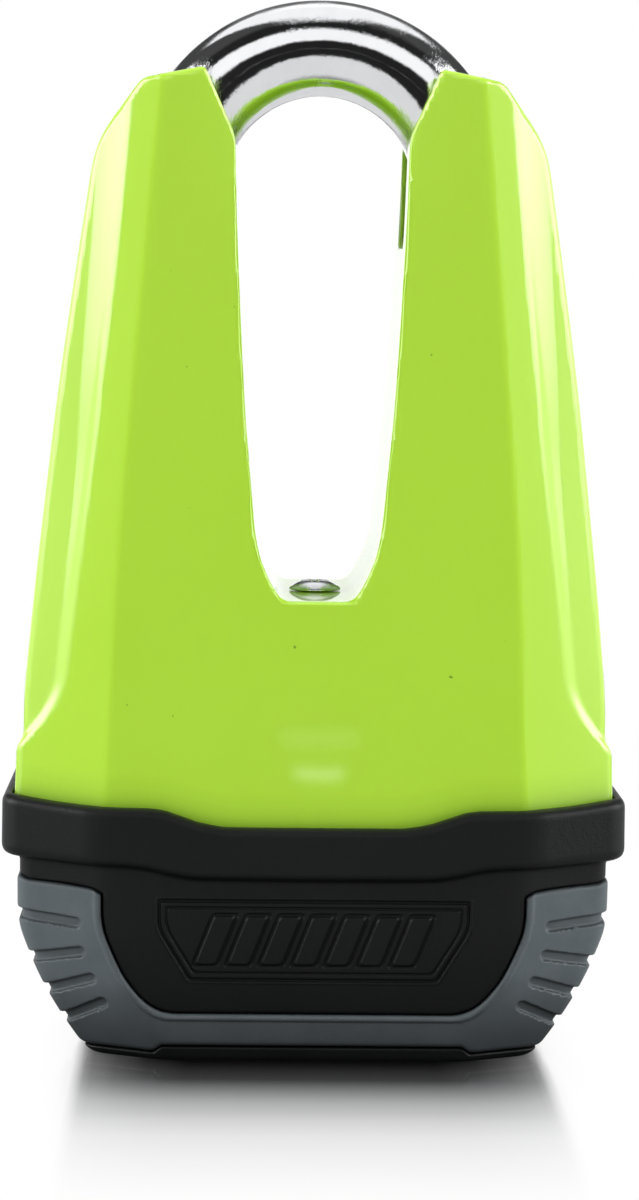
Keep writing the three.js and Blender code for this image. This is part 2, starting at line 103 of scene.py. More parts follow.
def curve(points, overshoot=True):
    """Smooth curve through (position, value) points: a natural cubic, or one without overshoot."""
    at, value = np.array(points, float).T
    count = len(at)
    gap = np.diff(at)
    rise = np.diff(value) / gap
    slope = np.zeros(count)
    if overshoot:
        system = np.zeros((count, count))
        right = np.zeros(count)
        system[0, 0] = system[-1, -1] = 1
        for i in range(1, count - 1):
            system[i, i - 1] = gap[i - 1]
            system[i, i] = 2 * (gap[i - 1] + gap[i])
            system[i, i + 1] = gap[i]
            right[i] = 6 * (rise[i] - rise[i - 1])
        bend = np.linalg.solve(system, right)
        slope[:-1] = rise - gap * (2 * bend[:-1] + bend[1:]) / 6
        slope[-1] = rise[-1] + gap[-1] * (2 * bend[-1] + bend[-2]) / 6
    else:
        slope[0], slope[-1] = rise[0], rise[-1]
        for i in range(1, count - 1):
            if rise[i - 1] * rise[i] > 0:
                before, after = 2 * gap[i] + gap[i - 1], gap[i] + 2 * gap[i - 1]
                slope[i] = (before + after) / (before / rise[i - 1] + after / rise[i])
    fine = np.arange(at[0] - CURVE_MARGIN, at[-1] + CURVE_MARGIN + CURVE_STEP, CURVE_STEP)
    i = np.clip(np.searchsorted(at, fine) - 1, 0, count - 2)
    part = (fine - at[i]) / gap[i]
    result = (
        (2 * part**3 - 3 * part**2 + 1) * value[i]
        + (part**3 - 2 * part**2 + part) * gap[i] * slope[i]
        + (-2 * part**3 + 3 * part**2) * value[i + 1]
        + (part**3 - part**2) * gap[i] * slope[i + 1]
    )
    # straight on beyond both ends
    result = np.where(fine < at[0], value[0] + slope[0] * (fine - at[0]), result)
    result = np.where(fine > at[-1], value[-1] + slope[-1] * (fine - at[-1]), result)
    return lambda query: np.interp(query, fine, result)


# ------------------------------------------------------------------ meshing of a shape
GRADIENT_STEP = 0.01
RELAX_ROUNDS, RELAX_SHARE = 3, 0.6


def gradient(shape, points):
    result = np.empty_like(points)
    for axis in range(3):
        shift = np.zeros(3)
        shift[axis] = GRADIENT_STEP
        change = shape(*(points + shift).T) - shape(*(points - shift).T)
        result[:, axis] = change / (2 * GRADIENT_STEP)
    return result


def normals_at(shape, points):
    slope = gradient(shape, points)
    return slope / np.maximum(np.linalg.norm(slope, axis=1), 1e-6)[:, None]


def project(shape, points, step, times=1):
    """Move points onto the surface, by at most 0.6 of a grid step each time."""
    for _ in range(times):
        slope = gradient(shape, points)
        square = np.maximum((slope * slope).sum(1), 1e-4)
        move = -(shape(*points.T) / square)[:, None] * slope
        length = np.linalg.norm(move, axis=1)
        cap = np.minimum(1.0, 0.6 * step / np.maximum(length, 1e-9))
        points = points + move * cap[:, None]
    return points


def grid_net(shape, low, high, step):
    """One vertex in each grid cell the surface crosses, and a quad round each crossed grid edge."""
    low = np.array(low, float)
    size = np.ceil((np.array(high, float) - low) / step).astype(int) + 1
    axes = [low[axis] + step * np.arange(size[axis]) for axis in range(3)]
    field = np.broadcast_to(shape(*np.ix_(*axes)), tuple(size)).astype(np.float64)
    field = np.where(field == 0.0, 1e-9, field)
    inside = field < 0
    cells = tuple(size - 1)
    cell_count = int(np.prod(cells))
    hits = np.zeros(cell_count)
    sums = np.zeros((3, cell_count))
    quads = []
    for axis in range(3):
        start = tuple(slice(0, -1) if i == axis else slice(None) for i in range(3))
        end = tuple(slice(1, None) if i == axis else slice(None) for i in range(3))
        index = np.nonzero(inside[start] != inside[end])
        second, third = (axis + 1) % 3, (axis + 2) % 3
        keep = (index[second] > 0) & (index[third] > 0)
        keep &= (index[second] < size[second] - 1) & (index[third] < size[third] - 1)
        index = tuple(entry[keep] for entry in index)
        value = field[start][index]
        part = value / (value - field[end][index])
        point = [low[i] + step * (index[i] + (part if i == axis else 0.0)) for i in range(3)]
        corners = []
        for shift_second, shift_third in ((-1, -1), (0, -1), (0, 0), (-1, 0)):
            place = list(index)
            place[second] = index[second] + shift_second
            place[third] = index[third] + shift_third
            cell = np.ravel_multi_index(tuple(place), cells)
            corners.append(cell)
            hits += np.bincount(cell, minlength=cell_count)
            for i in range(3):
                sums[i] += np.bincount(cell, weights=point[i], minlength=cell_count)
        quad = np.stack(corners, 1)
        quads.append(np.where(inside[start][index][:, None], quad, quad[:, ::-1]))
    used = np.nonzero(hits > 0)[0]
    number = np.full(cell_count, -1)
    number[used] = np.arange(len(used))
    return (sums[:, used] / hits[used]).T, number[np.concatenate(quads)]


def surface_net(shape, low, high, step):
    """Evenly relaxed quad mesh of a shape's surface. Returns vertices, quads and normals."""
    points, quads = grid_net(shape, low, high, step)
    points = project(shape, points, step, times=2)
    edges = np.concatenate([quads[:, [i, (i + 1) % 4]] for i in range(4)])
    edges = np.unique(np.sort(edges, 1), axis=0)
    start, end = edges.T
    count = len(points)
    neighbours = np.bincount(edges.ravel(), minlength=count)[:, None]
    for _ in range(RELAX_ROUNDS):
        mean = np.zeros_like(points)
        for axis in range(3):
            mean[:, axis] = np.bincount(start, points[end, axis], count) + np.bincount(
                end, points[start, axis], count
            )
        mean /= neighbours
        normals = normals_at(shape, points)
        move = mean - points
        move -= (move * normals).sum(1)[:, None] * normals
        points = project(shape, points + RELAX_SHARE * move, step)
    points = project(shape, points, step)
    return points, quads, normals_at(shape, points)


def net_mesh(name, surface, offset=(0, 0, 0)):
    points, quads, normals = surface
    mesh = bpy.data.meshes.new(name)
    mesh.vertices.add(len(points))
    places = (points + np.array(offset)) * MM
    mesh.vertices.foreach_set("co", places.astype(np.float32).ravel())
    mesh.loops.add(quads.size)
    mesh.loops.foreach_set("vertex_index", quads.astype(np.int32).ravel())
    mesh.polygons.add(len(quads))
    mesh.polygons.foreach_set("loop_start", np.arange(0, quads.size, 4, dtype=np.int32))
    mesh.polygons.foreach_set("loop_total", np.full(len(quads), 4, dtype=np.int32))
    mesh.update(calc_edges=True)
    mesh.validate()
    mesh.polygons.foreach_set("use_smooth", np.ones(len(mesh.polygons), dtype=bool))
    # the normals fit only while the vertex count is unchanged
    if len(mesh.vertices) == len(normals):
        mesh.normals_split_custom_set_from_vertices(normals.astype(np.float32))
    return mesh


# ------------------------------------------------------------------ shared dimensions
ROD_R, LEG_X, ARCH_Z, LEG_END = 7.2, 20.95, 126.0, 31.5  # shackle rod, leg centres, arch centre
CORE_X, CORE_Y = 30.4, 13.4  # half sizes of the hollow for the inner parts
SCREW_X, SCREW_Y, SCREW_HOLE_R = 25.0, 9.6, 1.75  # base screws, one in each quarter
FACET_SIN, FACET_COS = math.sin(math.radians(25)), math.cos(math.radians(25))


def facet_plane(wide, deep, edge, face):
    """Upright facet turned back by 25 degrees from the flat face, starting at x = edge."""
    return plane(wide, deep, point=(edge, face), normal=(FACET_SIN, FACET_COS))


def base_screw_hole(wide, deep):
    return distance(wide - SCREW_X, deep - SCREW_Y)


# ------------------------------------------------------------------ armour casting
CHANNEL_R, WINDOW_Z = 7.7, 117.6  # shackle channels, and the open window above them
FLOOR_Z, TIP_Z = 66.4, 143.4  # slot floor, arm tips
ARMOUR_BOTTOM = 31.5
SLOT_MOUTH_X, SLOT_MOUTH_Z = 12.6, 133.3
FACET_RECESS_LOW, FACET_RECESS_GAIN, SIDE_RECESS = 0.42, 0.83, 1.05  # recess depths
RECESS_SIN, RECESS_COS = math.sin(math.radians(26.5)), math.cos(math.radians(26.5))

# Each curve: (z, value)
arm_facet_edge = curve([
    (31.5, 30.1), (50, 29.4), (64.7, 28.9), (79.7, 28.1), (94.6, 27.0), (109.6, 25.8),
    (124.5, 24.6), (144.5, 22.9),
])
arm_half_width = curve([
    (31.5, 43.5), (38.0, 43.38), (43.4, 43.28), (51.2, 43.3), (60, 42.7), (68.7, 41.95),
    (80.4, 40.79), (92.1, 39.58), (103.8, 38.15), (118.4, 36.17), (124.2, 35.35), (133, 34.05),
    (144.5, 31.9),
])
ridge_x = curve([
    (46, 36.9), (52, 36.7), (62, 35.7), (71.6, 34.6), (79.7, 33.6), (88.6, 32.6), (97.5, 31.8),
    (106.6, 30.9), (118.5, 29.8), (139, 28.3), (146, 27.9),
])
ridge_bevel = curve([
    (46, 0.75), (62, 0.75), (71.6, 0.85), (79.7, 0.95), (88.6, 1.1), (97.5, 1.3), (106.6, 1.55),
    (118.5, 1.8), (139, 2.1), (146, 2.2),
])
slot_half_width = curve([
    (60, 3.2), (64, 3.6), (66.4, 4.9), (67.4, 5.75), (70.3, 7.35), (73.4, 8.5), (76.6, 9.1),
    (81, 9.55), (95, 10.8), (110, 11.7), (124, 12.35), (133.3, 12.6), (150, 12.9),
], overshoot=False)


def arm_face(z):
    return 14.2 + (TIP_Z - z) * 0.0533


def slot(wide, z):
    """The slot between the arms, opening wider near their tips."""
    main = (wide - slot_half_width(z)) * 0.93
    main = meet(main, FLOOR_Z - z, 0.9)
    mouth = (wide - SLOT_MOUTH_X - (z - SLOT_MOUTH_Z) * 0.4554) * 0.91
    return join(main, meet(mouth, 110.0 - z, 1.0), 0.7)


def arm_section(wide, deep, z):
    """Plan section: a flat front, a side facet turned back, and a flat side."""
    face = arm_face(z)
    tilt = 0.085 * np.maximum(17.9 - wide, 0.0) * smoothstep(124.0, 143.0, z)
    front = deep - face + tilt
    faces = meet(front, facet_plane(wide, deep, arm_facet_edge(z), face), 0.26)
    return meet(faces, wide - arm_half_width(z), 0.95)


def arm_recess(wide, deep, z, outer):
    """Body with its side recess: a sunk floor, and full height inside the ridge and low down."""
    ridge = ridge_x(z)
    sunk = FACET_RECESS_LOW + FACET_RECESS_GAIN * smoothstep(51.0, 90.0, z)
    set_back = (ridge - arm_facet_edge(z)) * FACET_SIN / FACET_COS
    facet_floor = (
        (wide - ridge) * RECESS_SIN + (deep - arm_face(z) + set_back) * RECESS_COS + sunk
    )
    side_floor = wide - (arm_half_width(z) - SIDE_RECESS)
    recess_floor = meet(facet_floor, side_floor, 0.95)
    bevel = ridge_bevel(z) / sunk
    within_ridge = ((wide - ridge) + outer * bevel) / np.sqrt(1 + bevel * bevel)
    below = (z - (47.9 - (wide - 38.9) * 0.85) + outer * 0.35) / 1.36
    raised = join(within_ridge, below, 4.5)
    return join(recess_floor, raised, 0.35 + 0.75 * smoothstep(56.0, 100.0, z))


def armour(x, y, z):
    wide, deep = np.abs(x), np.abs(y)
    outer = arm_section(wide, deep, z)
    body = meet(outer, arm_recess(wide, deep, z, outer), 0.42)
    # arm tips and shoulders in front view
    top = plane(wide, z, point=(17.2, TIP_Z), normal=(0.194, 0.981))
    slant = plane(wide, z, point=(26.0, 142.0), normal=(0.801, 0.5985))
    shoulder = plane(wide, z, point=(32.9, 132.9), normal=(0.957, 0.29))
    outline = meet(meet(top, slant, 0.7), shoulder, 1.6)
    body = meet(body, outline, 0.75)
    body = meet(body, ARMOUR_BOTTOM - z, 0.8)
    body = cut(body, slot(wide, z), 0.5)
    from_leg = distance(wide - LEG_X, y)
    window = meet(deep - CHANNEL_R, WINDOW_Z - z, 1.6)
    window = meet(window, wide - LEG_X, 0.1)
    body = cut(body, union(from_leg - CHANNEL_R, window), 0.5)
    bushing = overlap(from_leg - 9.5, z - 67.1)
    core = overlap(wide - CORE_X, deep - CORE_Y, z - 62.3)
    centre_hole = distance(x, y) - 2.75
    return overlap(body, -union(bushing, core, centre_hole))


# ------------------------------------------------------------------ shackle
NOTCH_X, NOTCH_Z, NOTCH_HALF = 18.9, 47.0, 4.2  # notch on the inner side of each leg


def shackle(x, y, z):
    wide = np.abs(x)
    arch = distance(distance(wide, z - ARCH_Z) - LEG_X, y) - ROD_R
    leg = distance(wide - LEG_X, y) - ROD_R
    rod = np.where(z > ARCH_Z, arch, leg)
    rod = meet(rod, LEG_END - z, 2.2)
    notch = meet(wide - NOTCH_X, np.abs(z - NOTCH_Z) - NOTCH_HALF, 0.8)
    return cut(rod, notch, 0.5)


# ------------------------------------------------------------------ base: shared outlines
# Each curve: (z, value)
base_face = curve([(0, 16.9), (2.4, 17.45), (9.5, 18.95), (19.4, 20.6), (28.6, 21.6)])
base_facet_edge = curve([(0, 21.5), (2.4, 22.6), (9.5, 26.2), (19.4, 28.8), (28.6, 29.6)])
base_half_width = curve([
    (0, 32.15), (1.6, 33.5), (6.4, 36.8), (10.7, 39.2), (15.5, 41.3), (19.0, 42.45),
    (21.5, 42.75), (28.6, 42.8),
], overshoot=False)
opening_half_width = curve([
    (2, 19.3), (6.8, 22.8), (9.1, 24.5), (12.6, 27.1), (16.1, 28.8), (19.6, 30.1), (22.0, 30.4),
    (40, 30.45),
], overshoot=False)
# Each curve: (x, z)
bumper_top = curve([
    (0, 24.1), (30.4, 24.65), (31.7, 25.2), (37.5, 25.65), (40.8, 25.75), (42.7, 26.3), (48, 26.8),
], overshoot=False)
collar_top = curve([
    (0, 34.4), (12.0, 34.42), (16.0, 34.95), (19.4, 36.0), (22.1, 36.8), (24.2, 37.0),
    (28.1, 37.06), (33, 37.2), (37.5, 37.4), (42.8, 37.9), (48, 38.4),
], overshoot=False)
collar_bottom = curve([
    (0, 26.9), (16.5, 27.05), (20.6, 27.6), (23.6, 28.3), (26.5, 28.65), (36, 28.95), (48, 29.3),
], overshoot=False)


def base_section(wide, deep, z):
    face = base_face(z)
    facet = facet_plane(wide, deep, base_facet_edge(z), face)
    side = (wide - base_half_width(z)) * 0.93
    return meet(meet(deep - face, facet, 1.0), side, 1.8)


def opening(wide, z):
    """The bumper's opening on the front and the rear."""
    return meet((wide - opening_half_width(z)) * 0.88, 7.15 - z, 3.2)


HEX_X, HEX_Z = 22.7, (11.65, 24.45)  # half width, bottom and top of the hexagonal panel


def hexagon(wide, z):
    slant = plane(wide, z, point=(HEX_X, 19.5), normal=(0.857, -0.515))
    sides = meet(wide - HEX_X, slant, 0.8)
    return meet(sides, overlap(HEX_Z[0] - z, z - HEX_Z[1]), 0.5)


# ------------------------------------------------------------------ bumper
# Grooves running outwards: z and x of the inner end, slope in degrees
BUMPER_GROOVES = [(20.1, 34.1, 4.0), (15.8, 33.5, -12.0), (11.9, 31.9, -20.0), (8.3, 30.2, -28.0)]
GROOVE_R, GROOVE_DEPTH, BUMPER_WALL = 0.78, 0.62, 2.2


def bumper_groove(wide, z, start_z, start_x, slope):
    cos, sin = math.cos(math.radians(slope)), math.sin(math.radians(slope))
    out_x, out_z = wide - start_x, z - start_z
    along = np.maximum(out_x * cos + out_z * sin, 0.0)
    return distance(out_x - along * cos, out_z - along * sin) - GROOVE_R


def bumper(x, y, z):
    wide, deep = np.abs(x), np.abs(y)
    section = base_section(wide, deep, z)
    gap = opening(wide, z)
    lip = 0.22 * (1 - smoothstep(0.75, 1.15, gap))
    region = meet(z - bumper_top(wide), -gap, 0.35)
    bottom = 1.45 + 0.95 * (1 - smoothstep(21.4, 23.0, wide))
    region = meet(region, bottom - z, 0.4)
    body = meet(section - lip, region, 0.75)
    grooves = union(*[bumper_groove(wide, z, *row) for row in BUMPER_GROOVES])
    body = cut(body, meet(grooves, -(section + GROOVE_DEPTH), 0.45), 0.25)
    return cut(body, section + BUMPER_WALL, 0.3)


# ------------------------------------------------------------------ housing
COLLAR_FACE, COLLAR_FACET_EDGE, COLLAR_HALF_WIDTH = 22.7, 31.0, 45.1
HOUSING_BOTTOM, HOUSING_TOP, KEY_BORE_R = 2.7, 31.0, 7.5


def collar(wide, deep, z):
    facet = facet_plane(wide, deep, COLLAR_FACET_EDGE, COLLAR_FACE)
    ring = meet(deep - COLLAR_FACE, facet, 1.2)
    ring = meet(ring, wide - COLLAR_HALF_WIDTH, 2.6)
    ring = meet(ring, z - collar_top(wide), 1.4)
    return meet(ring, collar_bottom(wide) - z, 1.7)


def housing(x, y, z):
    wide, deep = np.abs(x), np.abs(y)
    section = base_section(wide, deep, z)
    # face shown in the bumper's opening, and the neck above the bumper
    shown = join(opening(wide, z), bumper_top(wide) - z, 0.3) + 0.18
    body = meet(section + 0.32, shown, 0.3)
    body = union(body, section + 2.5)
    body = meet(body, z - HOUSING_TOP, 0.3)
    body = join(body, collar(wide, deep, z), 0.7)
    armour_seat = overlap(arm_section(wide, deep, z) - 0.32, 31.2 - z)
    body = cut(body, armour_seat, 0.45)
    core = overlap(wide - CORE_X, deep - CORE_Y, 4.7 - z)
    key_bore = distance(x, y) - KEY_BORE_R
    screw = base_screw_hole(wide, deep) - SCREW_HOLE_R
    panel_pocket = overlap(hexagon(wide, z) + 0.32, -(section + 1.5), 11.0 - deep)
    body = overlap(body, -union(core, key_bore), -screw, -panel_pocket)
    return meet(body, HOUSING_BOTTOM - z, 0.3)


# ------------------------------------------------------------------ base plate and keyhole slider
SLIDER_X = 2.0  # centre of the slider and of its window
SLIDER_RIDGE_X, SLIDER_RIDGE_Z = -3.8, 1.0
SLIDER_GROOVES_X, SLIDER_GROOVE_Z, SLIDER_GROOVE_R = (0.6, 2.2, 3.8, 5.4), 1.25, 0.28
SCREW_SINK_R, SCREW_SINK_Z = 3.4, 1.3


def base_plate(x, y, z):
    wide, deep = np.abs(x), np.abs(y)
    section = base_section(wide, deep, z)
    top = 1.25 + 0.97 * (1 - smoothstep(21.5, 22.9, wide))
    plate = meet(section + 0.12, z - top, 0.4)
    plate = union(plate, overlap(section + 2.55, z - 2.4))
    plate = meet(plate, -z, 1.0)
    window = meet(np.abs(x - SLIDER_X) - 7.0, deep - 4.6, 1.4)
    plate = cut(plate, window, 0.35)
    slider_pocket = overlap(np.abs(x - 8.0) - 14.6, deep - 6.4, 1.0 - z)
    plate = overlap(plate, -slider_pocket)
    from_screw = base_screw_hole(wide, deep)
    sink = overlap(from_screw - SCREW_SINK_R, z - SCREW_SINK_Z)
    plate = cut(plate, union(from_screw - SCREW_HOLE_R, sink), 0.2)
    # shallow groove in the underside, following the outline
    groove = np.abs(section + 3.2) - 0.35
    return cut(plate, overlap(groove, z - 0.35), 0.2)


def keyhole_slider(x, y, z):
    plate = block(x - SLIDER_X, y, z - 1.8, half=(8.2, 6.0, 0.5), corner=1.2, edge=0.25)
    ridge = block(
        x - SLIDER_RIDGE_X, y, z - SLIDER_RIDGE_Z, half=(0.75, 4.0, 0.7), corner=0.8, edge=0.4
    )
    body = join(plate, ridge, 0.3)
    for groove_x in SLIDER_GROOVES_X:
        groove = distance(x - groove_x, z - SLIDER_GROOVE_Z) - SLIDER_GROOVE_R
        body = cut(body, groove, 0.15)
    return body


# ------------------------------------------------------------------ screws
def button_screw(x, y, z):
    """Low button head with a cross recess; z = 0 is the underside of the head."""
    radius = distance(x, y)
    head = meet(radius - 4.0, -z, 0.25)
    dome = distance(radius, z + 4.3) - 6.0
    head = meet(meet(head, dome, 0.5), z - 1.5, 0.35)
    recess = join(cross(x, y, reach=2.0, half_width=0.5, blend=0.3), radius - 0.9, 0.3)
    recess = overlap(recess + (1.6 - z) * 0.14, 0.3 - z)
    shank = overlap(radius - 1.9, z - 0.2, -3.6 - z)
    return union(cut(head, recess, 0.22), shank)


def base_screw(x, y, z):
    """Flat head with a cross recess, facing down; z = 0.35 is the face of the head."""
    radius = distance(x, y)
    head = meet(meet(radius - 3.0, 0.35 - z, 0.35), z - 1.0, 0.1)
    recess = overlap(cross(x, y, reach=1.6, half_width=0.38, blend=0.2), z - 0.8)
    shank = overlap(radius - 1.4, np.abs(z - 2.0) - 1.6)
    return union(cut(head, recess, 0.15), shank)


# ------------------------------------------------------------------ shader graphs
def srgb(*channels):
    def linear(channel):
        channel /= 255.0
        return channel / 12.92 if channel <= 0.04045 else ((channel + 0.055) / 1.055) ** 2.4

    return (*map(linear, channels), 1.0)


class Graph:
    """A shader node tree with a short method for each kind of node."""

    def __init__(self, tree):
        self.tree = tree

    def feed(self, socket, value):
        """Link a socket, or set a plain value."""
        if isinstance(value, bpy.types.NodeSocket):
            self.tree.links.new(value, socket)
        else:
            socket.default_value = value

    def node(self, kind, inputs=None, **settings):
        node = self.tree.nodes.new("ShaderNode" + kind)
        for key, value in settings.items():
            setattr(node, key, value)
        for key, value in (inputs or {}).items():
            self.feed(node.inputs[key], value)
        return node

    def math(self, operation, first, second=None):
        inputs = {0: first} if second is None else {0: first, 1: second}
        return self.node("Math", inputs, operation=operation).outputs[0]

    def times(self, first, second):
        return self.math("MULTIPLY", first, second)

    def plus(self, first, second):
        return self.math("ADD", first, second)

    def minus(self, first, second):
        return self.math("SUBTRACT", first, second)

    def highest(self, first, second):
        return self.math("MAXIMUM", first, second)

    def remap(self, value, target, source=(0.3, 0.7), kind="LINEAR"):
        node = self.node("MapRange", {
            "Value": value,
            "From Min": source[0],
            "From Max": source[1],
            "To Min": target[0],
            "To Max": target[1],
        }, interpolation_type=kind)
        return node.outputs["Result"]

    def separate(self, vector):
        return self.node("SeparateXYZ", {0: vector}).outputs

    def mix_shader(self, factor, first, second):
        return self.node("MixShader", {0: factor, 1: first, 2: second}).outputs[0]

    def fade_in(self, value, over):
        return self.remap(value, source=over, target=(0.0, 1.0), kind="SMOOTHSTEP")

    def fade_out(self, value, over, rest=0.0):
        return self.remap(value, source=over, target=(1.0, rest), kind="SMOOTHSTEP")

    def window(self, value, opens, closes, rest=0.0):
        return self.times(self.fade_in(value, opens), self.fade_out(value, closes, rest))


class Finish(Graph):
    """A material on object coordinates."""

    def __init__(self, name):
        self.material = bpy.data.materials.new(name)
        self.material.use_nodes = True
        super().__init__(self.material.node_tree)
        self.surface = self.tree.nodes["Principled BSDF"]
        self.place = self.node("TexCoord").outputs["Object"]

    def scaled(self, scale):
        return self.node("Mapping", {"Scale": scale, "Vector": self.place}).outputs["Vector"]

    def noise(self, scale, detail=3.0, roughness=0.6, vector=None):
        node = self.node("TexNoise", {
            "Scale": scale,
            "Detail": detail,
            "Roughness": roughness,
            "Vector": vector or self.place,
        })
        return node.outputs["Fac"]

    def ramp(self, factor, stops):
        node = self.node("ValToRGB", {"Fac": factor})
        elements = node.color_ramp.elements
        while len(elements) < len(stops):
            elements.new(0.5)
        for element, (position, colour) in zip(elements, stops):
            element.position = position
            element.color = (*colour[:3], 1)
        return node.outputs["Color"]

    def tones(self, factor, low, high, span=(0.3, 0.7)):
        return self.ramp(factor, [(span[0], low), (span[1], high)])

    def grey_ramp(self, factor, stops):
        return self.ramp(factor, [(position, (grey,) * 3) for position, grey in stops])

    def mix(self, factor, first, second):
        # sockets 6 and 7, and output 2, are the colour ones
        node = self.node("Mix", {0: factor, 6: first, 7: second}, data_type="RGBA")
        return node.outputs[2]

    def occlusion(self, distance, samples=6):
        node = self.node("AmbientOcclusion", {"Distance": distance}, samples=samples)
        return node.outputs["AO"]

    def bump(self, height, strength, distance, under=None):
        inputs = {"Strength": strength, "Distance": distance, "Height": height}
        if under is not None:
            inputs["Normal"] = under
        return self.node("Bump", inputs).outputs["Normal"]

    def finish(self, **inputs):
        for key, value in inputs.items():
            self.feed(self.surface.inputs[key.replace("_", " ")], value)
        return self.material


# ------------------------------------------------------------------ materials
def lime_paint():
    paint = Finish("lime_paint")
    peel = paint.noise(scale=520.0, detail=1.0, roughness=0.4)
    cloud = paint.noise(scale=38.0, roughness=0.55)
    colour = paint.tones(cloud, low=srgb(166, 210, 54), high=srgb(168, 212, 57))
    # painted shade: the colour is darkened towards a dark green where ambient occlusion finds a
    # corner or crease, such as above the collar
    open_sky = paint.occlusion(distance=0.005)
    corner = paint.remap(open_sky, source=(0.45, 0.95), target=(1.0, 0.0))
    colour = paint.mix(paint.times(corner, 0.75), colour, srgb(84, 122, 24))
    # a few small dust pips
    dots = paint.noise(scale=760.0, detail=0.0, roughness=0.5)
    speck = paint.remap(dots, source=(0.885, 0.90), target=(0.0, 0.8))
    colour = paint.mix(speck, colour, srgb(92, 128, 30))
    return paint.finish(
        Base_Color=colour,
        Roughness=paint.remap(paint.noise(scale=260.0), target=(0.30, 0.34)),
        Normal=paint.bump(peel, strength=0.012, distance=0.0004),
        Specular_IOR_Level=0.35,
        Coat_Weight=0.9,
        Coat_Roughness=0.03,
        Coat_IOR=1.5,
    )


def chrome():
    plating = Finish("chrome")
    # hairline wear in patches, and a trace of haze
    stretched = plating.scaled((1.0, 1.0, 0.09))
    hair = plating.noise(scale=2600.0, roughness=0.7, vector=stretched)
    patches = plating.noise(scale=95.0)
    wear = plating.remap(patches, source=(0.42, 0.66), target=(0.12, 1.0))
    pits = plating.noise(scale=1500.0, detail=4.0, roughness=0.75)
    haze = plating.noise(scale=120.0)
    normal = plating.bump(plating.times(hair, wear), strength=0.6, distance=0.00012)
    return plating.finish(
        Base_Color=plating.tones(haze, low=(0.86, 0.87, 0.89), high=(0.93, 0.935, 0.95)),
        Metallic=1.0,
        Roughness=plating.remap(haze, target=(0.03, 0.085)),
        Normal=plating.bump(pits, strength=0.05, distance=0.00012, under=normal),
    )


def black_plastic():
    plastic = Finish("black_plastic")
    spark = plastic.noise(scale=2600.0, detail=2.0)
    broad = plastic.noise(scale=700.0)
    cloud = plastic.noise(scale=60.0, roughness=0.5)
    normal = plastic.bump(spark, strength=0.32, distance=0.00012)
    return plastic.finish(
        Base_Color=plastic.tones(
            cloud, low=(0.0026, 0.0032, 0.0030), high=(0.0040, 0.0046, 0.0044)
        ),
        Roughness=plastic.remap(broad, target=(0.42, 0.52)),
        Normal=plastic.bump(broad, strength=0.12, distance=0.0002, under=normal),
        Specular_IOR_Level=0.21,
    )


def grey_rubber():
    rubber = Finish("grey_soft_rubber")
    grain = rubber.noise(scale=3400.0, detail=2.0)
    broad = rubber.noise(scale=240.0, detail=4.0)
    colour = rubber.tones(broad, low=srgb(77, 84, 87), high=srgb(85, 92, 95))
    # painted shade: the colour is darkened towards a dark grey where ambient occlusion finds
    # grooves and corners
    open_sky = rubber.occlusion(distance=0.014)
    corner = rubber.remap(open_sky, source=(0.35, 1.0), target=(0.85, 0.0))
    return rubber.finish(
        Base_Color=rubber.mix(corner, colour, srgb(30, 33, 35)),
        Roughness=rubber.remap(broad, target=(0.46, 0.56)),
        Normal=rubber.bump(grain, strength=0.22, distance=0.0001),
        Specular_IOR_Level=0.3,
    )


def metal(name, dark, light, roughness, stretch=1, grain=900.0, strength=0.12):
    """Bare metal with fine lines; stretch multiplies the texture's frequency along z."""
    bare = Finish(name)
    lines = bare.noise(scale=grain, vector=bare.scaled((1, 1, stretch)))
    cloud = bare.noise(scale=120.0)
    return bare.finish(
        Base_Color=bare.tones(cloud, low=dark, high=light),
        Metallic=1.0,
        Normal=bare.bump(lines, strength=strength, distance=0.0002),
        Roughness=bare.remap(lines, target=roughness),
    )


def acetal():
    white = Finish("acetal_white")
    cloud = white.noise(scale=160.0)
    fine = white.noise(scale=1500.0, detail=2.0, roughness=0.5)
    return white.finish(
        Base_Color=white.tones(cloud, low=(0.66, 0.66, 0.61), high=(0.74, 0.74, 0.70)),
        Roughness=white.remap(cloud, target=(0.38, 0.48)),
        Normal=white.bump(fine, strength=0.1, distance=0.0001),
    )


FINISHES = {
    "armour_paint": lime_paint(),
    "shackle_chrome": chrome(),
    "black_plastic": black_plastic(),
    "grey_rubber": grey_rubber(),
    "hard_steel": metal(
        "hardened_steel", dark=(0.30, 0.31, 0.32), light=(0.42, 0.43, 0.44),
        roughness=(0.28, 0.42), stretch=14,
    ),
    "zinc_plate": metal(
        "zinc_plate", dark=(0.62, 0.64, 0.66), light=(0.74, 0.75, 0.77),
        roughness=(0.12, 0.2), grain=1500.0, strength=0.06,
    ),
    "cylinder_brass": metal(
        "machined_brass", dark=(0.58, 0.41, 0.14), light=(0.70, 0.52, 0.20),
        roughness=(0.2, 0.34), stretch=18,
    ),
    "acetal": acetal(),
}


# ------------------------------------------------------------------ pieces
def add_object(name, mesh):
    obj = bpy.data.objects.new(name, mesh)
    bpy.context.scene.collection.objects.link(obj)
    return obj


def install(name, mesh, slot_name, body="lock_body", node=None):
    obj = add_object(name, mesh)
    mesh.materials.append(FINISHES[slot_name])
    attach(obj, body)
    if node:
        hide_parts(node)


